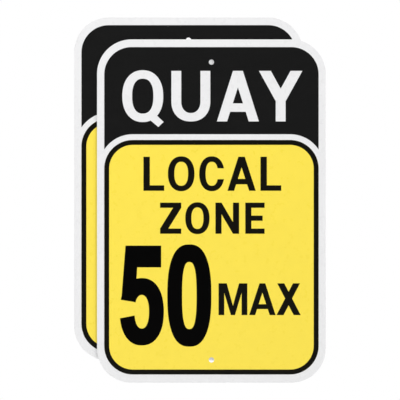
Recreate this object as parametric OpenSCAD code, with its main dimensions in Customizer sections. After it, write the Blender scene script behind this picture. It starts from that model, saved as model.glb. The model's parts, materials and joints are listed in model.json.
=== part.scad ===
// A pair of flat traffic sign plates, one loose in front of the other.
// Each sign is an aluminium blank faced with white reflective sheeting, which carries a black header film, a yellow
// panel, a black border ring and a legend of cut black letters. All sizes are in millimetres.
//
// Frame: the origin is the centre of the rear sign's bolt holes, on its back face. +X is to the right as a reader
// sees the sign, +Z is up, and the faces look along -Y.

/* [Blank] */
// Width of a sign
sign_w = 304.8; // [250:0.1:380]
// Height of a sign
sign_h = 457.2; // [380:0.1:560]
// Thickness of the aluminium
blank_t = 1.0; // [0.5:0.05:3.2]
// Radius of the sign's corners
corner_r = 46; // [20:1:60]
// Diameter of the two bolt holes
hole_d = 7.1; // [5:0.1:12]
// From the centre of a bolt hole to the sign's top or bottom edge
hole_inset = 30.3; // [22:0.1:38]

/* [Layers on the face] */
// Thickness of the adhesive under the sheeting
adhesive_t = 0.05; // [0.03:0.01:0.1]
// Thickness of the reflective sheeting
sheeting_t = 0.2; // [0.1:0.01:0.4]
// Thickness of the cut films, with their own adhesive
film_t = 0.1; // [0.05:0.01:0.2]

/* [Panels] */
// White margin at the left and right edges
side_margin = 9.7; // [5:0.1:16]
// White margin above the black header
top_margin = 10.3; // [5:0.1:16]
// White margin below the yellow panel
foot_margin = 11; // [5:0.1:16]
// Height of the black header at its middle
header_h = 116; // [90:1:150]
// White line between the header and the yellow panel
divider_w = 7.7; // [4:0.1:12]
// Radius of the yellow panel's corners
panel_corner_r = 38; // [15:1:50]
// Width of the black border ring
ring_w = 6.5; // [3:0.1:10]

/* [Legend] */
// Cap height of the header word
header_cap = 67.4; // [40:0.1:80]
// Width of its upright strokes
header_stem = 13.2; // [8:0.1:16]
// Height of its level strokes
header_bar = 11.3; // [7:0.1:14]
// From the header's lower edge up to the word
header_foot = 17; // [6:0.1:24]
// Cap height of the first row
first_cap = 45.3; // [30:0.1:56]
// Width of its upright strokes
first_stem = 8.5; // [5:0.1:11]
// Cap height of the second row
second_cap = 41.4; // [30:0.1:56]
// Width of its upright strokes
second_stem = 8.1; // [5:0.1:11]
// Height of the numerals
number_h = 132.9; // [100:0.1:150]
// Width of one numeral
number_w = 58.6; // [45:0.1:72]
// Cap height of the word beside the numerals
unit_cap = 42.3; // [30:0.1:52]
// Width of its upright strokes
unit_stem = 7.6; // [5:0.1:10]
// How far that word stands above the numerals' foot
unit_raise = 40.4; // [0:0.1:60]
// Space between the numerals and that word
unit_gap = 9.6; // [6:0.1:20]
// How far the words sit right of the middle
word_shift = 1.2; // [-3:0.1:3]
// How far the row of numerals sits left of the middle
number_shift = 1.6; // [-4:0.1:4]
// Least space around the legend, which is made smaller to keep it
legend_clear = 4; // [2:0.1:8]

/* [Pair] */
// How far the front sign lies to the right of the rear one
stagger_x = 30.5; // [0:0.5:60]
// How far it lies below the rear one
stagger_z = 29.4; // [0:0.5:60]
// Clear space between the rear sign's films and the front blank
rest_gap = 0.05; // [0.02:0.01:0.5]

/* [Hidden] */
SIGNS = ["rear", "front"];
HEADER = ["Q", "U", "A", "Y"];
// A row's letters, with the node name of each
FIRST = [["L", "local_first_l"], ["O", "local_o"], ["C", "local_c"], ["A", "local_a"], ["L", "local_last_l"]];
SECOND = [["Z", "zone_z"], ["O", "zone_o"], ["N", "zone_n"], ["E", "zone_e"]];
UNIT = [["M", "max_m"], ["A", "max_a"], ["X", "max_x"]];
NUMBER = [["5", "number_5"], ["0", "number_0"]];
LAYERS = [
    "blank", "sheeting_adhesive", "sheeting", "header_film", "header_counters", "yellow_panel", "border_ring"
];
LETTERS = [for (row = [FIRST, SECOND, NUMBER, UNIT]) for (letter = row) letter[1]];
NODES = [for (sign = SIGNS) for (piece = concat(LAYERS, LETTERS)) str(sign, "_", piece)];
node = "all";

ALUMINIUM = [0.75, 0.76, 0.77];
GUM = [0.88, 0.87, 0.82];
WHITE = [0.93, 0.93, 0.93];
BLACK = [0.09, 0.09, 0.09];
YELLOW = [1.0, 0.89, 0.33];

// Widths of the letters, and the space after each, as shares of the cap height
WIDTHS = [
    ["L", 0.61], ["O", 0.78], ["C", 0.74], ["A", 0.83], ["Z", 0.68], ["N", 0.76], ["E", 0.62],
    ["M", 0.905], ["X", 0.76], ["Q", 0.81], ["U", 0.77], ["Y", 0.86]
];
SPACES = [
    ["LO", 0.11], ["OC", 0.14], ["CA", 0.09], ["AL", 0.14], ["ZO", 0.13], ["ON", 0.19], ["NE", 0.2],
    ["MA", 0.06], ["AX", 0.03], ["QU", 0.16], ["UA", 0.13], ["AY", 0]
];
// Level strokes are a little thinner than upright ones
bar_share = 0.85;
// Round letters reach a little past flat ones, as a share of the cap height
overshoot = 0.012;
// How square the rounds are: 2 is an ellipse, and more is squarer
letter_round = 2.2;
number_round = 2.5;
// How much squarer a counter is than its letter
counter_round = 0.2;
// Points on one round outline
round_points = 96;
$fn = 96;
// Height of the A's crossbar, of the U's round foot and of the Y's fork, as shares of the cap height
a_bar = 0.19;
u_foot = 0.4;
y_fork = 0.4;

// The numerals' own proportions: upright and level strokes, and the space between the two
number_stem = number_w * 0.335;
number_bar = number_h * 0.176;
number_gap = 4.7;

hole_z = sign_h / 2 - hole_inset;
header_top = sign_h / 2 - top_margin;
header_edge = header_top - header_h;
header_corner_r = corner_r - side_margin;
panel_top = header_edge - divider_w;
panel_foot = foot_margin - sign_h / 2;
panel_w = sign_w - 2 * side_margin;

sheeting_y = blank_t + adhesive_t;
film_y = sheeting_y + sheeting_t;
legend_y = film_y + film_t;
face_y = legend_y + film_t;

// ---- where the legend stands ----

function share(table, key) = table[search([key], table)[0]][1];
function space(word, i, c) = i < len(word) - 1 ? c * share(SPACES, str(word[i], word[i + 1])) : 0;
function total(list, i = 0) = i < len(list) ? list[i] + total(list, i + 1) : 0;
function glyphs(row) = [for (letter = row) letter[0]];
// Distance from the start of a word to its letter number n
function start(word, n, c) = total([for (i = [0 : 1 : n - 1]) c * share(WIDTHS, word[i]) + space(word, i, c)]);
function word_w(word, c) = start(word, len(word), c);

// The header word shrinks with its stem and foot space where the bolt hole or the film's sides would come too near
header_free = header_h - (hole_inset - top_margin) - hole_d / 2;
header_fit = min(1,
    header_free / (header_foot + header_cap + legend_clear),
    panel_w / (word_w(HEADER, header_cap) + 2 * abs(word_shift) + 2 * legend_clear));

// The panel's three rows share the free height evenly, and shrink together where it is too small
panel_ceiling = panel_top - ring_w;
panel_floor = -hole_z + hole_d / 2;
rows_h = first_cap + second_cap + number_h;
number_row_w = 2 * number_w + number_gap + unit_gap + word_w(glyphs(UNIT), unit_cap);
legend_w = max(
    number_row_w + 2 * abs(number_shift),
    word_w(glyphs(FIRST), first_cap) + 2 * abs(word_shift),
    word_w(glyphs(SECOND), second_cap) + 2 * abs(word_shift));
legend_fit = min(1,
    (panel_ceiling - panel_floor - 4 * legend_clear) / rows_h,
    (panel_w - 2 * ring_w - 2 * legend_clear) / legend_w);
row_gap = (panel_ceiling - panel_floor - legend_fit * rows_h) / 4;
first_z = panel_ceiling - row_gap - legend_fit * first_cap;
second_z = first_z - row_gap - legend_fit * second_cap;
number_z = second_z - row_gap - legend_fit * number_h;

// ---- outlines ----

// Points of a squared ellipse of size w by h about [x, z]: |x/a|^n + |z/b|^n = 1
function squared(v, n) = sign(v) * pow(abs(v), 2 / n);
function round_outline(x, z, w, h, n) = [
    for (i = [0 : round_points - 1]) let (a = 360 * i / round_points)
        [x + w / 2 * squared(cos(a), n), z + h / 2 * squared(sin(a), n)]
];

module rounded_rect(w, low, high, r) {
    for (x = [r - w / 2, w / 2 - r]) for (z = [low + r, high - r]) translate([x, z]) circle(r);
    translate([-w / 2, low + r]) square([w, high - low - 2 * r]);
    translate([r - w / 2, low]) square([w - 2 * r, high - low]);
}

module sign_outline() {
    rounded_rect(sign_w, -sign_h / 2, sign_h / 2, corner_r);
}

module bolt_holes() {
    for (z = [-hole_z, hole_z]) translate([0, z]) circle(d = hole_d);
}

// The panel's outline, grown all round by a margin
module panel_outline(grow = 0) {
    rounded_rect(panel_w + 2 * grow, panel_foot - grow, panel_top + grow, panel_corner_r + grow);
}

// The header reaches down beside the panel's round corners, a divider's width away from them
module header_outline() {
    difference() {
        rounded_rect(panel_w, panel_top - panel_corner_r - header_corner_r, header_top, header_corner_r);
        panel_outline(divider_w);
    }
}

// ---- letters, each with its lower left corner at the origin: width w, cap height c, upright s and level stroke b ----

// A letter is its outer shape less its counter, the part that its strokes close in
module outer(g, w, c, s, b) {
    if (g == "L") polygon([[0, 0], [w, 0], [w, b], [s, b], [s, c], [0, c]]);
    if (g == "E") outer_e(w, c, s, b);
    if (g == "Z") outer_z(w, c, s, b);
    if (g == "N") outer_n(w, c, s);
    if (g == "M") outer_m(w, c, s);
    if (g == "X") outer_x(w, c, s);
    if (g == "A") outer_a(w, c, s);
    if (g == "C") outer_c(w, c, s, b);
    if (g == "U") outer_u(w, c, s, b);
    if (g == "Y") outer_y(w, c, s);
    if (g == "Q") outer_q(w, c);
    if (g == "O") round_shape(w, c, overshoot * c, 0, 0, letter_round);
    if (g == "0") round_shape(w, c, overshoot * c, 0, 0, number_round);
    if (g == "5") outer_5(w, c, s, b);
}

module counter(g, w, c, s, b) {
    if (g == "A") counter_a(w, c, s, b);
    if (g == "O" || g == "Q") round_shape(w, c, overshoot * c, s, b, letter_round + counter_round);
    if (g == "0") round_shape(w, c, overshoot * c, s, b, number_round + counter_round);
}

module glyph(g, w, c, s, b) {
    difference() {
        outer(g, w, c, s, b);
        counter(g, w, c, s, b);
    }
}

// A squared ellipse that passes the cap height and the foot by o, and lies s and b inside the letter's edge
module round_shape(w, c, o, s, b, n) {
    polygon(round_outline(w / 2, c / 2, w - 2 * s, c + 2 * o - 2 * b, n));
}

// A cup with straight sides from z = c down to the middle of its round foot, which is depth high
module cup(w, c, depth) {
    translate([0, depth]) square([w, c - depth]);
    intersection() {
        polygon(round_outline(w / 2, depth, w, 2 * depth, letter_round));
        square([w, depth]);
    }
}

module outer_e(w, c, s, b) {
    square([s, c]);
    for (z = [0, c - b]) translate([0, z]) square([w, b]);
    translate([0, (c - b) / 2]) square([0.9 * w, b]);
}

module outer_z(w, c, s, b) {
    slope = 1.35 * s;
    polygon([[0, 0], [w, 0], [w, b], [slope, b], [w, c - b], [w, c], [0, c], [0, c - b], [w - slope, c - b], [0, b]]);
}

module outer_n(w, c, s) {
    drop = 1.9 * s;
    polygon([[0, 0], [s, 0], [s, c - drop], [w - s, 0], [w, 0], [w, c], [w - s, c], [w - s, drop], [s, c], [0, c]]);
}

module outer_m(w, c, s) {
    shoulder = 0.285 * w;
    foot = 0.07 * w;
    armpit = 0.7 * c;
    valley = 0.29 * c;
    polygon([
        [0, 0], [s, 0], [s, armpit], [w / 2 - foot, 0], [w / 2 + foot, 0], [w - s, armpit], [w - s, 0], [w, 0],
        [w, c], [w - shoulder, c], [w / 2, valley], [shoulder, c], [0, c]
    ]);
}

module outer_x(w, c, s) {
    leg = 1.22 * s;
    inset = 0.03 * w;
    polygon([[0, 0], [leg, 0], [w - inset, c], [w - inset - leg, c]]);
    polygon([[w - leg, 0], [w, 0], [inset + leg, c], [inset, c]]);
}

// The legs of the A lean alike inside and outside, so each keeps its width
function a_leg(s) = 1.03 * s;
function a_peak(s) = 0.5 * s;
function a_lean(w, c, s) = (w / 2 - a_peak(s)) / c;

module outer_a(w, c, s) {
    inner = a_leg(s) + a_lean(w, c, s) * a_bar * c;
    difference() {
        polygon([[0, 0], [w, 0], [w / 2 + a_peak(s), c], [w / 2 - a_peak(s), c]]);
        polygon([
            [a_leg(s), 0], [a_leg(s), -1], [w - a_leg(s), -1], [w - a_leg(s), 0],
            [w - inner, a_bar * c], [inner, a_bar * c]
        ]);
    }
}

module counter_a(w, c, s, b) {
    low = a_bar * c + b;
    inner = a_leg(s) + a_lean(w, c, s) * low;
    polygon([[inner, low], [w - inner, low], [w / 2, (w / 2 - a_leg(s)) / a_lean(w, c, s)]]);
}

module outer_c(w, c, s, b) {
    difference() {
        round_shape(w, c, overshoot * c, 0, 0, letter_round);
        round_shape(w, c, overshoot * c, s, b, letter_round + counter_round);
        translate([w / 2, 0.34 * c]) square([w, 0.32 * c]);
    }
}

module outer_u(w, c, s, b) {
    difference() {
        cup(w, c, u_foot * c);
        translate([s, b]) cup(w - 2 * s, c, u_foot * c - b);
    }
}

// The arms of the Y keep their width down to the fork
module outer_y(w, c, s) {
    arm = 1.2 * s;
    lean = (w - s) / 2 / (c - y_fork * c);
    polygon([
        [(w - s) / 2, 0], [(w + s) / 2, 0], [(w + s) / 2, y_fork * c], [w, c], [w - arm, c],
        [w / 2, c - (w / 2 - arm) / lean], [arm, c], [0, c], [(w - s) / 2, y_fork * c]
    ]);
}

// A round letter with a tail that leaves it at the lower right
module outer_q(w, c) {
    round_shape(w, c, overshoot * c, 0, 0, letter_round);
    polygon([[0.6 * w, 0.08 * c], [0.75 * w, 0.19 * c], [1.01 * w, -0.01 * c], [0.88 * w, -0.11 * c]]);
}

// A heavy five: a flag and a slanted stem over a bowl that is cut open on its left
module outer_5(w, h, s, b) {
    flag_foot = 0.782 * h;
    bowl_h = 0.675 * h;
    stem_foot = 0.456 * h;
    five_round = number_round - 0.25;
    polygon([
        [0.035 * w, stem_foot], [0.32 * w, stem_foot - 0.02 * h], [0.372 * w, 0.62 * h], [0.396 * w, flag_foot],
        [0.94 * w, flag_foot], [0.94 * w, h], [0.13 * w, h]
    ]);
    difference() {
        polygon(round_outline(w / 2, bowl_h / 2, w, bowl_h, five_round));
        polygon(round_outline(w / 2, bowl_h / 2, w - 2 * s, bowl_h - 1.92 * b, five_round));
        polygon([
            [-1, stem_foot + 0.004 * h], [0.32 * w, stem_foot - 0.02 * h], [w / 2, stem_foot - 0.05 * h],
            [w / 2, 0.33 * h], [0.337 * w, 0.3 * h], [-1, 0.27 * h]
        ]);
    }
}

// Where letter number n of a word starts, with the word's middle at x
function letter_x(word, n, c, x) = x - word_w(word, c) / 2 + start(word, n, c);

// ---- the pieces of one sign ----

// A flat layer of the face, whose back lies y in front of the blank's back
module layer(y, t) {
    translate([0, -y, 0]) rotate([90, 0, 0]) linear_extrude(t) children();
}

// A full layer, with rounded corners and the two bolt holes
module full_layer(y, t) {
    layer(y, t) difference() {
        sign_outline();
        bolt_holes();
    }
}

module blank() {
    color(ALUMINIUM) full_layer(0, blank_t);
}

module sheeting_adhesive() {
    color(GUM) full_layer(blank_t, adhesive_t);
}

module sheeting() {
    color(WHITE) full_layer(sheeting_y, sheeting_t);
}

// The header word's letters, as cuts in the black film or as the islands that are left inside them
module header_word(islands) {
    c = header_cap * header_fit;
    s = header_stem * header_fit;
    b = header_bar * header_fit;
    for (n = [0 : len(HEADER) - 1]) {
        w = c * share(WIDTHS, HEADER[n]);
        translate([letter_x(HEADER, n, c, word_shift), header_edge + header_foot * header_fit]) {
            if (islands) counter(HEADER[n], w, c, s, b);
            else outer(HEADER[n], w, c, s, b);
        }
    }
}

module header_film() {
    color(BLACK) layer(film_y, film_t) difference() {
        header_outline();
        header_word(false);
        bolt_holes();
    }
}

module header_counters() {
    color(BLACK) layer(film_y, film_t) header_word(true);
}

module yellow_panel() {
    color(YELLOW) layer(film_y, film_t) difference() {
        panel_outline();
        bolt_holes();
    }
}

module border_ring() {
    color(BLACK) layer(legend_y, film_t) difference() {
        panel_outline();
        panel_outline(-ring_w);
    }
}

// One black letter on the yellow panel, with its lower left corner at x and z
module letter(g, w, c, s, b, x, z) {
    color(BLACK) layer(legend_y, film_t) translate([x, z]) glyph(g, w, c, s, b);
}

// The letters of a row of the legend, each in its own node, with the row's left end at x and its foot at z
module letter_row(sign, row, cap, stem, x, z) {
    word = glyphs(row);
    for (n = [0 : len(row) - 1])
        if (shown(sign, row[n][1]))
            letter(word[n], cap * share(WIDTHS, word[n]), cap, stem, bar_share * stem, x + start(word, n, cap), z);
}

module numerals(sign, x, z) {
    w = number_w * legend_fit;
    for (n = [0 : 1])
        if (shown(sign, NUMBER[n][1]))
            letter(NUMBER[n][0], w, number_h * legend_fit, number_stem * legend_fit, number_bar * legend_fit,
                x + n * (w + number_gap * legend_fit), z);
}

// ---- the two signs ----

function shown(sign, piece) = node == "all" || node == str(sign, "_", piece);

module sign_pieces(sign) {
    if (shown(sign, "blank")) blank();
    if (shown(sign, "sheeting_adhesive")) sheeting_adhesive();
    if (shown(sign, "sheeting")) sheeting();
    if (shown(sign, "header_film")) header_film();
    if (shown(sign, "header_counters")) header_counters();
    if (shown(sign, "yellow_panel")) yellow_panel();
    if (shown(sign, "border_ring")) border_ring();
    number_x = -legend_fit * (number_row_w / 2 + number_shift);
    numerals(sign, number_x, number_z);
    letter_row(sign, FIRST, legend_fit * first_cap, legend_fit * first_stem,
        word_shift - word_w(glyphs(FIRST), legend_fit * first_cap) / 2, first_z);
    letter_row(sign, SECOND, legend_fit * second_cap, legend_fit * second_stem,
        word_shift - word_w(glyphs(SECOND), legend_fit * second_cap) / 2, second_z);
    letter_row(sign, UNIT, legend_fit * unit_cap, legend_fit * unit_stem,
        number_x + legend_fit * (2 * number_w + number_gap + unit_gap), number_z + legend_fit * unit_raise);
}

sign_pieces("rear");
translate([stagger_x, -face_y - rest_gap, -stagger_z]) sign_pieces("front");
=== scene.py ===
"""Looks for a pair of flat traffic sign plates, one loose in front of the other.

Every length is in metres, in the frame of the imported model: the origin is the middle of the rear sign's bolt
holes on its back face, +X is to the right as a reader sees the signs, +Z is up, and the faces look along -Y.
The three full layers of each sign are rebuilt with the edges that a punch and a trimming knife leave, and the
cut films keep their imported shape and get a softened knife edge. Each finish is worked out from Object
coordinates, and the metal's also from an attribute that marks its punched edges.
"""

import json
import logging
import math
from dataclasses import dataclass, field
from enum import Enum

import bmesh
import bpy
import numpy as np
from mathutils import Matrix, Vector

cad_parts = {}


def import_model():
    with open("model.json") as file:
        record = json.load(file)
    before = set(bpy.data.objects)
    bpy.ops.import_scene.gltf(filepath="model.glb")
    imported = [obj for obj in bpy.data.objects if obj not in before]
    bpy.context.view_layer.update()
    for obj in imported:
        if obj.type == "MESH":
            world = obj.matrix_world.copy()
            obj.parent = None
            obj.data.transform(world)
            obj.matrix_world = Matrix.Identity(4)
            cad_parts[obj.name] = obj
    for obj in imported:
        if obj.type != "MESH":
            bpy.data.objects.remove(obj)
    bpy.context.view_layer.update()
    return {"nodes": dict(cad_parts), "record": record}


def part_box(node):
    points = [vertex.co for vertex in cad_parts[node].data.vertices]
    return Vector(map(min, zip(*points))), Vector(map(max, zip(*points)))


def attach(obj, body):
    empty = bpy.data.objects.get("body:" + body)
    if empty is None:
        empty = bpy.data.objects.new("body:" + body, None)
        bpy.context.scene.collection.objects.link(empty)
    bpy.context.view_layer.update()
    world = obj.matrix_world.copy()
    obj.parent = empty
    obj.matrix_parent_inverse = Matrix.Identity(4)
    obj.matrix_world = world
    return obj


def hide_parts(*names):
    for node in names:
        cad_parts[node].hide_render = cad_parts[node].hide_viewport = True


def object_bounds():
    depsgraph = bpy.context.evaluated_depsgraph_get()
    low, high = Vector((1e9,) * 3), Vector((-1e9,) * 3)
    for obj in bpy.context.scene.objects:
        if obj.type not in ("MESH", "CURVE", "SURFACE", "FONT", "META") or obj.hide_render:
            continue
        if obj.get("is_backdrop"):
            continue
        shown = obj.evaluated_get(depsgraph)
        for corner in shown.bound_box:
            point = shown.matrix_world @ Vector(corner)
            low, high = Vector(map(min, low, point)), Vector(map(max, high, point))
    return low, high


log = logging.getLogger("signs")

MM = 0.001
WELD = 1e-7  # points of a new shell that lie nearer to each other than this are one
FACET_WELD = 1e-6  # and the same for the loose facets of a packed film
LEVEL = 0.01 * MM  # a point this near to the top edge's height lies on that edge
TURNED = "turned_from_face"  # the attribute that Shell.mark writes
NOISE_SPAN = (0.3, 0.7)  # where most values of a noise lie
Pair = tuple[float, float]
Triple = tuple[float, float, float]
Socket = bpy.types.NodeSocket


class Layer(Enum):
    """The full layers of a sign, from its back to its face. The value is the end of the CAD node's name."""

    BLANK = "blank"
    ADHESIVE = "sheeting_adhesive"
    SHEETING = "sheeting"


class Film(Enum):
    """The films cut for one sign. The value is in the name of each CAD node that is cut from the film."""

    HEADER = "header"
    PANEL = "panel"
    RING = "ring"
    NUMERAL = "number"
    LETTER = "_"

    @classmethod
    def of(cls, node: str) -> "Film":
        """The film that a CAD node is cut from. Every film but the letters' has its own word in the name."""
        return next(film for film in cls if film.value in node)


# ---------------------------------------------------------------- node trees


class Tree:
    """A short way to write a shader tree: it adds nodes, sets their values and links them."""

    def __init__(self, owner: bpy.types.Material | bpy.types.World) -> None:
        """Empties the tree of a material or of the world.

        Args:
            owner: the material or the world whose tree is written.
        """
        owner.use_nodes = True
        self.nodes = owner.node_tree.nodes
        self.links = owner.node_tree.links
        self.nodes.clear()

    def add(self, kind: str, **values: object) -> bpy.types.Node:
        """Adds a node and sets its properties.

        Args:
            kind: the node's type, without the ShaderNode in front.
            **values: its properties by name.

        Returns:
            The new node.
        """
        node = self.nodes.new("ShaderNode" + kind)
        for name, value in values.items():
            setattr(node, name, value)
        return node

    def put(self, node: bpy.types.Node, key: str | int, value: object) -> None:
        """Sets an input to a constant, or links it where the value is another node's output.

        Args:
            node: the node that takes the value.
            key: the input's name or number.
            value: a number, a colour, a vector or an output socket.
        """
        if isinstance(value, Socket):
            self.links.new(value, node.inputs[key])
        else:
            node.inputs[key].default_value = value

    def math(self, operation: str, *values: object) -> Socket:
        """Adds a Math node.

        Args:
            operation: what it works out.
            *values: its inputs in order, each a number or an output socket.

        Returns:
            The result's socket.
        """
        node = self.add("Math", operation=operation)
        for i, value in enumerate(values):
            self.put(node, i, value)
        return node.outputs[0]

    def ramp(self, value: Socket, span: Pair, to: Pair) -> Socket:
        """Maps a range of a value smoothly onto another, and holds it at both ends.

        Args:
            value: the output that is mapped.
            span: where the old range starts and ends.
            to: the result at its start and below, and at its end and above.

        Returns:
            The mapped value's socket.
        """
        node = self.add("MapRange", interpolation_type="SMOOTHSTEP")
        for key, number in zip(("From Min", "From Max", "To Min", "To Max"), (*span, *to)):
            self.put(node, key, number)
        self.put(node, "Value", value)
        return node.outputs["Result"]

    def about(self, value: Socket, middle: float, spread: float) -> Socket:
        """Maps a noise onto a range that goes as far as the spread to each side of its middle."""
        return self.ramp(value, NOISE_SPAN, (middle - spread, middle + spread))

    def place(self, stretch: Triple = (1, 1, 1), turn: float = 0.0) -> Socket:
        """Object coordinates, turned in the plane of the signs and then stretched.

        Args:
            stretch: how many times finer the pattern is along X, Y and Z.
            turn: its turn about Y, in degrees.

        Returns:
            The vector's socket.
        """
        mapping = self.add("Mapping", vector_type="POINT")
        self.put(mapping, "Rotation", (0, math.radians(turn), 0))
        self.put(mapping, "Scale", stretch)
        self.put(mapping, "Vector", self.add("TexCoord").outputs["Object"])
        return mapping.outputs["Vector"]

    def noise(
        self, grain: float, detail: float = 2.0, stretch: Triple = (1, 1, 1), turn: float = 0.0
    ) -> Socket:
        """Soft noise from 0 to 1 with a grain of about that size.

        Args:
            grain: the size of one lump, in metres.
            detail: how many finer octaves it has.
            stretch: how many times finer it is along each axis.
            turn: its turn about Y, in degrees.

        Returns:
            The noise value's socket.
        """
        node = self.add("TexNoise")
        self.put(node, "Vector", self.place(stretch, turn))
        self.put(node, "Scale", 1 / grain)
        self.put(node, "Detail", detail)
        return node.outputs["Fac"]

    def beads(self, size: float, contrast: float) -> Socket:
        """Glass beads, as Voronoi cells that each have their own grey.

        Args:
            size: the size of one bead, in metres.
            contrast: how far the greys go to each side of 1.

        Returns:
            The grey's socket.
        """
        node = self.add("TexVoronoi")
        self.put(node, "Vector", self.place())
        self.put(node, "Scale", 1 / size)
        return self.ramp(node.outputs["Color"], (0, 1), (1 - contrast, 1 + contrast))

    def bump(self, height: Socket, depth: float, below: Socket | None = None) -> Socket:
        """Raises the surface by a height map.

        Args:
            height: the map's socket, from 0 to 1.
            depth: the relief's full depth, in metres.
            below: a normal that this relief is added to.

        Returns:
            The normal's socket.
        """
        node = self.add("Bump")
        self.put(node, "Strength", 1.0)
        self.put(node, "Distance", depth)
        self.put(node, "Height", height)
        if below is not None:
            self.put(node, "Normal", below)
        return node.outputs["Normal"]

    def tint(self, color: Triple, value: Socket) -> Socket:
        """Multiplies a colour by a value.

        Args:
            color: the plain colour.
            value: what it is multiplied by, about 1.

        Returns:
            The colour's socket.
        """
        node = self.add("VectorMath", operation="SCALE")
        self.put(node, 0, color)
        self.put(node, "Scale", value)
        return node.outputs["Vector"]

    def surface(self, values: dict[str, object]) -> None:
        """Ends a material's tree with a Principled shader.

        Args:
            values: the shader's inputs by name.
        """
        shader = self.add("BsdfPrincipled")
        for key, value in values.items():
            self.put(shader, key, value)
        self.links.new(shader.outputs[0], self.add("OutputMaterial").inputs["Surface"])


# ---------------------------------------------------------------- finishes


@dataclass(frozen=True)
class FaceRelief:
    """The relief that every layer of the face shares, because each lies on the same sheet of metal."""

    wave: float = 70 * MM
    wave_depth: float = 0.05 * MM
    peel: float = 2.2 * MM
    peel_depth: float = 0.0016 * MM

    def normal(self, tree: Tree) -> Socket:
        """Broad waves of the thin metal under the fine orange peel of a rolled-on film."""
        waves = tree.bump(tree.noise(self.wave, detail=0.0), self.wave_depth)
        return tree.bump(tree.noise(self.peel, detail=1.0), self.peel_depth, waves)


@dataclass(frozen=True)
class SheetingFinish:
    """White reflective sheeting: fine glass beads under a smooth clear face."""

    color: Triple = (0.835, 0.835, 0.84)
    bead: float = 0.22 * MM
    bead_contrast: float = 0.03
    cloud: float = 35 * MM
    cloud_contrast: float = 0.008
    handling: float = 9 * MM
    dulling: Pair = (0.26, 0.35)
    gloss: float = 0.4
    clear_face: float = 0.15
    clear_face_roughness: float = 0.12
    relief: FaceRelief = field(default_factory=FaceRelief)

    def material(self) -> bpy.types.Material:
        """The sheeting's material: beads under soft clouds, and a gloss that handling has dulled in places.

        Returns:
            The material.
        """
        made = bpy.data.materials.new("white_sheeting")
        tree = Tree(made)
        beads = tree.beads(self.bead, self.bead_contrast)
        clouds = tree.about(tree.noise(self.cloud), 1, self.cloud_contrast)
        tree.surface({
            "Base Color": tree.tint(self.color, tree.math("MULTIPLY", beads, clouds)),
            "Roughness": tree.ramp(tree.noise(self.handling), NOISE_SPAN, self.dulling),
            "Specular IOR Level": self.gloss,
            "Coat Weight": self.clear_face,
            "Coat Roughness": self.clear_face_roughness,
            "Normal": self.relief.normal(tree),
        })
        return made


@dataclass(frozen=True)
class YellowFilmFinish:
    """Translucent yellow film, in which the sheeting's beads show through."""

    color: Triple = (0.965, 0.765, 0.079)
    bead: float = 0.22 * MM
    bead_contrast: float = 0.025
    mottle: float = 14 * MM
    mottle_contrast: float = 0.008
    handling: float = 7 * MM
    roughness: float = 0.32
    roughness_spread: float = 0.05
    gloss: float = 0.35
    relief: FaceRelief = field(default_factory=FaceRelief)

    def material(self) -> bpy.types.Material:
        """The yellow film's material: the beads' grain, and a faint mottle where the colour lies thicker.

        Returns:
            The material.
        """
        made = bpy.data.materials.new("yellow_film")
        tree = Tree(made)
        beads = tree.beads(self.bead, self.bead_contrast)
        mottle = tree.about(tree.noise(self.mottle, detail=4.0), 1, self.mottle_contrast)
        tree.surface({
            "Base Color": tree.tint(self.color, tree.math("MULTIPLY", beads, mottle)),
            "Roughness": tree.about(tree.noise(self.handling), self.roughness, self.roughness_spread),
            "Specular IOR Level": self.gloss,
            "Normal": self.relief.normal(tree),
        })
        return made


@dataclass(frozen=True)
class BlackFilmFinish:
    """Satin black film. Each piece is given its own black, and the lighter and tinted ones carry painted
    light.
    """

    name: str
    color: Triple
    gloss: float = 0.1
    grain: float = 0.5 * MM
    grain_contrast: float = 0.25
    smear: float = 30 * MM
    smear_stretch: Triple = (1, 1, 2.6)
    smear_turn: float = 28.0
    smear_span: Pair = (0.35, 0.7)
    dulling: Pair = (0.30, 0.35)
    relief: FaceRelief = field(default_factory=FaceRelief)

    def material(self) -> bpy.types.Material:
        """The black film's material: a fine calendered grain, and smears that polish it a little.

        Returns:
            The material.
        """
        made = bpy.data.materials.new(self.name)
        tree = Tree(made)
        grain = tree.about(tree.noise(self.grain), 1, self.grain_contrast)
        smears = tree.noise(self.smear, detail=3.0, stretch=self.smear_stretch, turn=self.smear_turn)
        tree.surface({
            "Base Color": tree.tint(self.color, grain),
            "Roughness": tree.ramp(smears, self.smear_span, self.dulling),
            "Specular IOR Level": self.gloss,
            "Normal": self.relief.normal(tree),
        })
        return made


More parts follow.
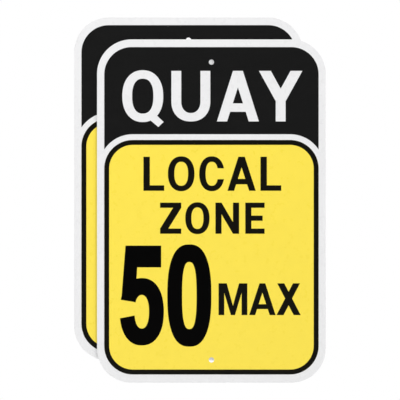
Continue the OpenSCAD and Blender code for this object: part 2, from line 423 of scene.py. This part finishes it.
@dataclass(frozen=True)
class AluminiumFinish:
    """Mill finish aluminium sheet, rolled along the sign's height, with brighter punched edges."""

    color: Triple = (0.74, 0.75, 0.76)
    rolled: Triple = (1, 1, 0.012)
    streak: float = 0.9 * MM
    streak_span: Pair = (0.25, 0.75)
    streak_shade: Pair = (0.93, 1.05)
    streak_depth: float = 0.004 * MM
    band: float = 22 * MM
    band_shade: Pair = (0.95, 1.04)
    bloom: float = 60 * MM
    bloom_span: Pair = (0.4, 0.75)
    bloom_shade: Pair = (1.0, 0.9)
    dulling_span: Pair = (0.35, 0.7)
    dulling: Pair = (0.29, 0.46)
    scratch: float = 1.4 * MM
    scratch_stretch: Triple = (1, 1, 0.02)
    scratch_turn: float = 33.0
    scratch_span: Pair = (0.74, 0.8)
    scratch_depth: float = 0.003 * MM
    scratch_polish: float = 0.12
    edge_span: Pair = (0.1, 0.65)
    shear_mark: float = 0.16 * MM
    shear_stretch: Triple = (1, 0.06, 1)
    shear_shade: Pair = (1.02, 1.2)
    shear_depth: float = 0.02 * MM

    def punched(self, tree: Tree) -> Socket:
        """How far a point is on a punched edge: 0 on the flat faces, and 1 on the surface square to them."""
        turned = tree.add("Attribute", attribute_name=TURNED).outputs["Fac"]
        return tree.ramp(turned, self.edge_span, (0.0, 1.0))

    def material(self) -> bpy.types.Material:
        """The metal's material.

        The faces have rolling streaks and bands, stray scratches, and dull blooms of oxide. The punched edges
        are brighter, and the punch has drawn fine marks through the thickness of the sheet.

        Returns:
            The material.
        """
        made = bpy.data.materials.new("mill_aluminium")
        tree = Tree(made)
        edge = self.punched(tree)
        marks = tree.noise(self.shear_mark, stretch=self.shear_stretch)
        streaks = tree.noise(self.streak, detail=3.0, stretch=self.rolled)
        bands = tree.noise(self.band, detail=1.0, stretch=self.rolled)
        bloom = tree.noise(self.bloom, detail=5.0)
        lines = tree.noise(self.scratch, detail=0.0, stretch=self.scratch_stretch, turn=self.scratch_turn)
        scratches = tree.ramp(lines, self.scratch_span, (0, 1))
        oxide = tree.ramp(bloom, self.bloom_span, self.bloom_shade)
        clouded = tree.math("MULTIPLY", tree.ramp(bands, NOISE_SPAN, self.band_shade), oxide)
        face = tree.math("MULTIPLY", tree.ramp(streaks, self.streak_span, self.streak_shade), clouded)
        sheared = tree.ramp(marks, NOISE_SPAN, self.shear_shade)
        shade = tree.math("ADD", face, tree.math("MULTIPLY", edge, tree.math("SUBTRACT", sheared, face)))
        polish = tree.math("MULTIPLY", scratches, -self.scratch_polish)
        relief = tree.bump(streaks, self.streak_depth)
        relief = tree.bump(tree.math("SUBTRACT", 1.0, scratches), self.scratch_depth, relief)
        relief = tree.bump(tree.math("MULTIPLY", edge, marks), self.shear_depth, relief)
        tree.surface({
            "Base Color": tree.tint(self.color, shade),
            "Metallic": 1.0,
            "Roughness": tree.math("ADD", tree.ramp(bloom, self.dulling_span, self.dulling), polish),
            "Normal": relief,
        })
        return made


@dataclass(frozen=True)
class AdhesiveFinish:
    """Clear acrylic adhesive, which shows only as a pale line at the edges."""

    color: Triple = (0.80, 0.78, 0.70)
    dust: float = 0.6 * MM
    dust_span: Pair = (0.55, 0.75)
    dust_shade: Pair = (1.0, 0.82)
    softness: float = 1.5 * MM
    roughness: float = 0.55
    roughness_spread: float = 0.1
    lump: float = 0.8 * MM
    lump_depth: float = 0.01 * MM

    def material(self) -> bpy.types.Material:
        """The adhesive's material: a soft gum with dust caught in it.

        Returns:
            The material.
        """
        made = bpy.data.materials.new("sheeting_gum")
        tree = Tree(made)
        dust = tree.ramp(tree.noise(self.dust, detail=3.0), self.dust_span, self.dust_shade)
        tree.surface({
            "Base Color": tree.tint(self.color, dust),
            "Roughness": tree.about(tree.noise(self.softness), self.roughness, self.roughness_spread),
            "Normal": tree.bump(tree.noise(self.lump), self.lump_depth),
        })
        return made


@dataclass(frozen=True)
class FloorFinish:
    """Matt pale paint on the studio's floor."""

    color: Triple = (0.60, 0.60, 0.60)
    cloud: float = 0.5
    cloud_contrast: float = 0.015
    roughness: float = 0.85
    gloss: float = 0.2

    def material(self) -> bpy.types.Material:
        """The floor's material: the paint with a faint cloud.

        Returns:
            The material.
        """
        made = bpy.data.materials.new("pale_floor")
        tree = Tree(made)
        tree.surface({
            "Base Color": tree.tint(self.color, tree.about(tree.noise(self.cloud), 1, self.cloud_contrast)),
            "Roughness": self.roughness,
            "Specular IOR Level": self.gloss,
        })
        return made


# ---------------------------------------------------------------- surfaces


class Shell:
    """A closed shell put together from grids of points, which are welded where they meet."""

    def __init__(self) -> None:
        """Starts with no points."""
        self.points: list[np.ndarray] = []
        self.quads: list[np.ndarray] = []
        self.count = 0

    def add(self, grid: np.ndarray) -> None:
        """Adds a grid whose columns close on themselves.

        A quad joins each point to the next in its row, and to the same two in the row after. The last point
        of a row is followed by the first.

        Args:
            grid: points as rows by columns by 3.
        """
        rows, columns = grid.shape[:2]
        here = np.arange(rows * columns).reshape(rows, columns) + self.count
        beside = np.roll(here, -1, axis=1)
        self.quads.append(np.stack([here[:-1], beside[:-1], beside[1:], here[1:]], axis=-1).reshape(-1, 4))
        self.points.append(grid.reshape(-1, 3))
        self.count += rows * columns

    def mesh(self, name: str, smooth_below: float) -> bpy.types.Mesh:
        """Welds the grids and makes the mesh, with its faces turned outwards.

        Args:
            name: the mesh's name.
            smooth_below: faces that meet at a smaller angle, in degrees, are shaded as one.

        Returns:
            The finished mesh.
        """
        made = bpy.data.meshes.new(name)
        made.from_pydata(np.concatenate(self.points).tolist(), [], np.concatenate(self.quads).tolist())
        work = bmesh.new()
        work.from_mesh(made)
        bmesh.ops.remove_doubles(work, verts=work.verts, dist=WELD)
        bmesh.ops.recalc_face_normals(work, faces=work.faces)
        work.to_mesh(made)
        work.free()
        made.shade_smooth()
        made.set_sharp_from_angle(angle=math.radians(smooth_below))
        self.mark(made)
        return made

    def mark(self, mesh: bpy.types.Mesh) -> None:
        """Writes how far the surface turns away from the flat faces at each point.

        It is 1 less the size of the normal's Y part, so it is 0 on a face and 1 on a wall.

        Args:
            mesh: the mesh that gets the attribute.
        """
        normals = np.empty(len(mesh.vertices) * 3, np.float32)
        mesh.vertex_normals.foreach_get("vector", normals)
        turned = 1 - np.abs(normals.reshape(-1, 3)[:, 1])
        mesh.attributes.new(TURNED, "FLOAT", "POINT").data.foreach_set("value", turned)


@dataclass(frozen=True)
class EdgeProfile:
    """How a layer's outer edge and its holes' edges are worn: the radius at the back and at the face."""

    back: float
    face: float
    set_back: float = 0.0
    steps: int = 5

    def curve(self, low: float, high: float) -> tuple[np.ndarray, np.ndarray]:
        """The edge's section, from the back of the layer to its face.

        Each rounding is a quarter circle: with a from 0 to 90 degrees, the inset is r - r sin a and the depth
        is r - r cos a at the back, and the same in reverse at the face.

        Args:
            low: how far the layer's back lies in front of the sign's back.
            high: how far its face does.

        Returns:
            The inset from the layer's outline, and the depth, at each point of the section.
        """
        a = np.linspace(0, math.pi / 2, self.steps)
        inset = np.concatenate([self.back * (1 - np.sin(a)), self.face * (1 - np.cos(a))])
        depth = np.concatenate([low + self.back * (1 - np.cos(a)), high - self.face * (1 - np.sin(a))])
        return inset + self.set_back, depth


@dataclass(frozen=True)
class SignOutline:
    """A sign's outline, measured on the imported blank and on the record's bolt holes."""

    middle: Vector
    half_w: float
    half_h: float
    corner: float
    hole_r: float
    hole_z: float
    arc_steps: int = 20
    side_step: float = 12 * MM
    fan_rows: int = 6
    fan_growth: float = 1.5
    hem: float = 0.004
    smooth_below: float = 40.0

    @classmethod
    def of(cls, blank: bpy.types.Object, bolts: dict) -> "SignOutline":
        """Measures a blank. The level part of its top edge ends one corner radius from its side.

        Args:
            blank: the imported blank.
            bolts: the record's bolt pattern for it.

        Returns:
            The outline.
        """
        co = np.empty(len(blank.data.vertices) * 3, np.float32)
        blank.data.vertices.foreach_get("co", co)
        co = co.reshape(-1, 3).astype(float)
        low, high = co.min(0), co.max(0)
        top = co[co[:, 2] > high[2] - LEVEL]
        return cls(
            middle=Vector(bolts["pos_m"]),
            half_w=(high[0] - low[0]) / 2,
            half_h=(high[2] - low[2]) / 2,
            corner=high[0] - top[:, 0].max(),
            hole_r=bolts["dims"]["hole_r_mm"] * MM,
            hole_z=bolts["dims"]["spacing_y_mm"] / 2 * MM,
        )

    def steps(self, length: float) -> np.ndarray:
        """The shares from 0 to just under 1 at which a straight side of that length is cut, as a column."""
        return np.linspace(0, 1, max(2, round(length / self.side_step)), endpoint=False)[:, None]

    def half_path(self, inset: float) -> np.ndarray:
        """The upper half of the outline, from the middle of its right side over the top to that of its left.

        The outline is an inner rectangle pushed outwards by the corner radius less the inset. Along a side
        the base point moves and the outward direction stays; round a corner the direction turns and the base
        point stays.

        Args:
            inset: how far inside the sign's outline the path runs.

        Returns:
            The points of the path, as points by 2.
        """
        x, z = self.half_w - self.corner, self.half_h - self.corner
        side, top = self.steps(z), self.steps(2 * x)
        turn = np.linspace(0, math.pi / 2, self.arc_steps, endpoint=False)
        arc = np.stack([np.cos(turn), np.sin(turn)], axis=1)
        right, up, left = np.array([1.0, 0.0]), np.array([0.0, 1.0]), np.array([-1.0, 0.0])
        base = [side * [0, z] + [x, 0], np.tile([x, z], (len(turn), 1)), top * [-2 * x, 0] + [x, z],
                np.tile([-x, z], (len(turn), 1)), side * [0, -z] + [-x, z], np.array([[-x, 0.0]])]
        out = [np.tile(right, (len(side), 1)), arc, np.tile(up, (len(top), 1)), arc[:, ::-1] * [-1, 1],
               np.tile(left, (len(side), 1)), left[None]]
        return np.concatenate(base) + (self.corner - inset) * np.concatenate(out)

    def path(self, inset: float) -> np.ndarray:
        """The whole outline at an inset, as points by 2: the upper half, and that half turned right round."""
        upper = self.half_path(inset)
        return np.concatenate([upper[:-1], -upper[:-1]])

    def half_loop(self, inset: float) -> np.ndarray:
        """The upper half of the outline, closed along the sign's middle line.

        Args:
            inset: how far inside the sign's outline it runs.

        Returns:
            The points of the loop, as points by 2.
        """
        upper = self.half_path(inset)
        count = max(3, round(2 * self.half_w / self.side_step))
        line = np.linspace(upper[-1], upper[0], count + 1)[1:-1]
        return np.concatenate([upper, line])

    def lift(self, flat: np.ndarray, depth: float) -> np.ndarray:
        """Places points, given across and up from the sign's middle, that far in front of the sign's back."""
        across, up = flat[..., 0] + self.middle.x, flat[..., 1] + self.middle.z
        return np.stack([across, np.full_like(across, self.middle.y - depth), up], axis=-1)

    def layer(
        self, name: str, low: float, high: float, edge: EdgeProfile, rim: EdgeProfile
    ) -> bpy.types.Mesh:
        """A full layer of the sign: two faces, the outer edge and the walls of the two holes.

        Each half of a face is a fan round its bolt hole: the point at share v of the way from the rim to the
        outline, along the ray at angle a about the hole, is (1 - v) times the rim's point plus v times the
        outline's. A narrow first and last row keep the rounding of the edges out of the flat face. The edge
        and the walls are their section carried round the outline and round the holes.

        Args:
            name: the mesh's name.
            low: how far the layer's back lies in front of the sign's back.
            high: how far its face does.
            edge: the section of its outer edge.
            rim: the section of its holes' edges.

        Returns:
            The layer's mesh.
        """
        shell = Shell()
        insets, depths = edge.curve(low, high)
        shell.add(np.stack([self.lift(self.path(inset), depth) for inset, depth in zip(insets, depths)]))
        grows, rim_depths = rim.curve(low, high)
        spread = self.hem + (1 - 2 * self.hem) * np.linspace(0, 1, self.fan_rows) ** self.fan_growth
        share = np.concatenate([[0.0], spread, [1.0]])[:, None, None]
        hole = np.array([0.0, self.hole_z])
        ray = self.half_loop(0.0) - hole
        ray /= np.linalg.norm(ray, axis=1, keepdims=True)
        wall = hole + (self.hole_r + grows)[:, None, None] * ray
        for half in (1, -1):
            for end in (0, -1):
                fan = (1 - share) * wall[end] + share * self.half_loop(insets[end])
                shell.add(self.lift(half * fan, depths[end]))
            shell.add(np.stack([self.lift(half * ring, depth) for ring, depth in zip(wall, rim_depths)]))
        return shell.mesh(name, self.smooth_below)


# ---------------------------------------------------------------- the signs


@dataclass
class Finishes:
    """One material for each finish, shared by both signs."""

    aluminium: bpy.types.Material
    adhesive: bpy.types.Material
    sheeting: bpy.types.Material
    films: dict[Film, bpy.types.Material]

    @classmethod
    def make(cls) -> "Finishes":
        """Makes the materials. The numerals' black is the deepest; the header's lighter black is a painted
        sheen of the light from above, and the letters' and ring's black has a faint painted yellow bounce from
        the panel.

        Returns:
            The finishes.
        """
        # painted light: the header's black is lightened as a painted sheen, and the letters' and ring's black
        # is tinted yellow as painted bounce from the panel
        header = BlackFilmFinish("black_header_film", color=(0.0078, 0.0078, 0.0078)).material()
        letter = BlackFilmFinish("black_letter_film", color=(0.0045, 0.0042, 0.0022)).material()
        numeral = BlackFilmFinish("black_numeral_film", color=(0.0006, 0.0005, 0.0005), gloss=0.05).material()
        yellow = YellowFilmFinish().material()
        films = {
            Film.HEADER: header,
            Film.PANEL: yellow,
            Film.RING: letter,
            Film.NUMERAL: numeral,
            Film.LETTER: letter,
        }
        return cls(
            aluminium=AluminiumFinish().material(),
            adhesive=AdhesiveFinish().material(),
            sheeting=SheetingFinish().material(),
            films=films,
        )


@dataclass
class Sign:
    """One sign: its full layers rebuilt, and its cut films dressed where they are."""

    name: str
    outline: SignOutline
    finishes: Finishes
    knife_round: float = 0.02 * MM
    knife_steps: int = 2
    knife_angle: float = 50.0
    blank_edge: EdgeProfile = EdgeProfile(back=0.08 * MM, face=0.22 * MM)
    blank_rim: EdgeProfile = EdgeProfile(back=0.12 * MM, face=0.2 * MM)
    adhesive_edge: EdgeProfile = EdgeProfile(back=0.01 * MM, face=0.01 * MM, set_back=0.25 * MM)
    sheeting_edge: EdgeProfile = EdgeProfile(back=0.02 * MM, face=0.14 * MM, set_back=0.03 * MM)

    @property
    def body(self) -> str:
        """The CAD body that the whole sign moves with."""
        return f"{self.name}_sign"

    def node(self, layer: Layer) -> str:
        """The CAD node's name of one of the full layers."""
        return f"{self.name}_{layer.value}"

    def span(self, layer: Layer) -> tuple[float, float]:
        """How far a layer's back and face lie in front of the sign's back."""
        low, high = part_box(self.node(layer))
        return self.outline.middle.y - high.y, self.outline.middle.y - low.y

    def lay(
        self, layer: Layer, edge: EdgeProfile, rim: EdgeProfile, finish: bpy.types.Material
    ) -> None:
        """Builds one full layer in place of its CAD node.

        Args:
            layer: which layer it is.
            edge: the section of its outer edge.
            rim: the section of its holes' edges.
            finish: its material.
        """
        name = f"{self.name}_{layer.name.lower()}_layer"
        mesh = self.outline.layer(name, *self.span(layer), edge, rim)
        mesh.materials.append(finish)
        piece = bpy.data.objects.new(name, mesh)
        bpy.context.scene.collection.objects.link(piece)
        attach(piece, self.body)
        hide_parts(self.node(layer))
        log.info("%s: %d faces", name, len(mesh.polygons))

    def dress(self, node: bpy.types.Object, finish: bpy.types.Material) -> None:
        """Gives a cut film its material, and softens the knife's edge.

        Args:
            node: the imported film.
            finish: its material.
        """
        node.data.materials.clear()
        node.data.materials.append(finish)
        weld = node.modifiers.new("join_facets", "WELD")
        weld.merge_threshold = FACET_WELD
        bevel = node.modifiers.new("knife_edge", "BEVEL")
        bevel.width = self.knife_round
        bevel.segments = self.knife_steps
        bevel.limit_method = "ANGLE"
        bevel.angle_limit = math.radians(self.knife_angle)
        log.info("%s: dressed in %s", node.name, finish.name)

    def build(self, nodes: dict[str, bpy.types.Object]) -> None:
        """Builds the whole sign.

        Args:
            nodes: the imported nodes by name.
        """
        made = self.finishes
        self.lay(Layer.BLANK, self.blank_edge, self.blank_rim, made.aluminium)
        self.lay(Layer.ADHESIVE, self.adhesive_edge, self.adhesive_edge, made.adhesive)
        self.lay(Layer.SHEETING, self.sheeting_edge, self.sheeting_edge, made.sheeting)
        layers = {self.node(layer) for layer in Layer}
        for name, node in sorted(nodes.items()):
            if name.startswith(self.name + "_") and name not in layers:
                self.dress(node, made.films[Film.of(name)])


# ---------------------------------------------------------------- the studio


def hang(name: str, lamp: bpy.types.Light, place: Vector, away: Vector) -> None:
    """Puts a light in the scene.

    Args:
        name: the light's name.
        lamp: the light.
        place: where it hangs.
        away: the direction opposite to the one that it shines in.
    """
    hung = bpy.data.objects.new(name, lamp)
    hung.location = place
    hung.rotation_euler = away.to_track_quat("Z", "Y").to_euler()
    bpy.context.scene.collection.objects.link(hung)


@dataclass(frozen=True)
class Softbox:
    """A square area light, placed by its bearing and elevation from the signs, in degrees."""

    name: str
    bearing: float
    elevation: float
    distance: float
    size: float
    power: float

    def build(self, aim: Vector) -> None:
        """Hangs the light and turns it to a point.

        Args:
            aim: what it is turned to. A bearing of 0 is straight in front of the signs, and 90 is to their
                right.
        """
        a, e = math.radians(self.bearing), math.radians(self.elevation)
        away = Vector((math.sin(a) * math.cos(e), -math.cos(a) * math.cos(e), math.sin(e)))
        lamp = bpy.data.lights.new(self.name, "AREA")
        lamp.shape = "SQUARE"
        lamp.size = self.size
        lamp.energy = self.power
        hang(self.name, lamp, aim + away * self.distance, away)


@dataclass(frozen=True)
class RakingLight:
    """A broad low light from the right, which rakes across the faces."""

    name: str = "raking_light"
    power: float = 1.85
    spread: float = 30.0
    away: Triple = (0.9, -0.4, 0.17)

    def build(self) -> None:
        """Hangs the light."""
        lamp = bpy.data.lights.new(self.name, "SUN")
        lamp.energy = self.power
        lamp.angle = math.radians(self.spread)
        hang(self.name, lamp, Vector(), Vector(self.away))


@dataclass(frozen=True)
class Dome:
    """The world: white all round, and dim in the directions that lie well in front of the signs."""

    dim_side: float = 0.12
    dim_from: float = -0.75
    bright_from: float = -0.05

    def build(self) -> None:
        """Makes the world. Its strength follows the Y part of the direction that is looked in."""
        world = bpy.data.worlds.new("studio")
        bpy.context.scene.world = world
        tree = Tree(world)
        split = tree.add("SeparateXYZ")
        tree.put(split, 0, tree.add("TexCoord").outputs["Generated"])
        sky = tree.add("Background")
        tree.put(sky, "Color", (1, 1, 1, 1))
        strength = tree.ramp(split.outputs["Y"], (self.dim_from, self.bright_from), (self.dim_side, 1.0))
        tree.put(sky, "Strength", strength)
        tree.links.new(sky.outputs[0], tree.add("OutputWorld").inputs["Surface"])


@dataclass(frozen=True)
class Floor:
    """A plain finite floor, well below the signs."""

    z: float = -0.75
    half_w: float = 12.0
    front: float = -16.0
    back: float = 3.4

    def build(self) -> None:
        """Lays the floor."""
        x, z = self.half_w, self.z
        mesh = bpy.data.meshes.new("floor")
        corners = [(-x, self.front, z), (x, self.front, z), (x, self.back, z), (-x, self.back, z)]
        mesh.from_pydata(corners, [], [(0, 1, 2, 3)])
        mesh.materials.append(FloorFinish().material())
        laid = bpy.data.objects.new("floor", mesh)
        bpy.context.scene.collection.objects.link(laid)
        laid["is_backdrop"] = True


@dataclass(frozen=True)
class Studio:
    """Soft light, a pale floor and a camera square to the signs."""

    view_w: float = 532.6 * MM
    lens: float = 135.0
    boxes: tuple[Softbox, ...] = (
        Softbox("top_softbox", bearing=-8, elevation=40, distance=2.3, size=1.3, power=11),
        Softbox("left_softbox", bearing=-48, elevation=12, distance=2.6, size=1.4, power=16),
        Softbox("right_softbox", bearing=46, elevation=14, distance=2.6, size=1.4, power=7),
    )

    def camera(self, middle: Vector) -> None:
        """A long lens, square to the faces.

        Args:
            middle: the point on the front face that the camera looks at.
        """
        lens = bpy.data.cameras.new("camera")
        lens.lens = self.lens
        camera = bpy.data.objects.new("camera", lens)
        distance = self.view_w * self.lens / lens.sensor_width
        camera.location = middle - Vector((0, distance, 0))
        camera.rotation_euler = (math.pi / 2, 0, 0)
        bpy.context.scene.collection.objects.link(camera)
        bpy.context.scene.camera = camera

    def build(self, middle: Vector) -> None:
        """Sets up the light, the floor and the camera.

        Args:
            middle: the point on the front face that the camera and the softboxes are turned to.
        """
        Dome().build()
        RakingLight().build()
        Floor().build()
        for box in self.boxes:
            box.build(middle)
        self.camera(middle)
        bpy.context.scene.view_settings.view_transform = "Standard"
        log.info("studio: %d softboxes round %s", len(self.boxes), middle)


def main() -> None:
    """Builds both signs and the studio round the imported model."""
    logging.basicConfig(level=logging.INFO, format="%(name)s: %(message)s")
    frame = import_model()
    bolts = {mount["name"]: mount for mount in frame["record"]["mounts"]}
    finishes = Finishes.make()
    for name, mount in (("rear", "post_bolts"), ("front", "front_sign_bolts")):
        outline = SignOutline.of(frame["nodes"][f"{name}_blank"], bolts[mount])
        Sign(name, outline, finishes).build(frame["nodes"])
    low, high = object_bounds()
    middle = (low + high) / 2
    middle.y = low.y
    Studio().build(middle)


if __name__ == "__main__":
    main()
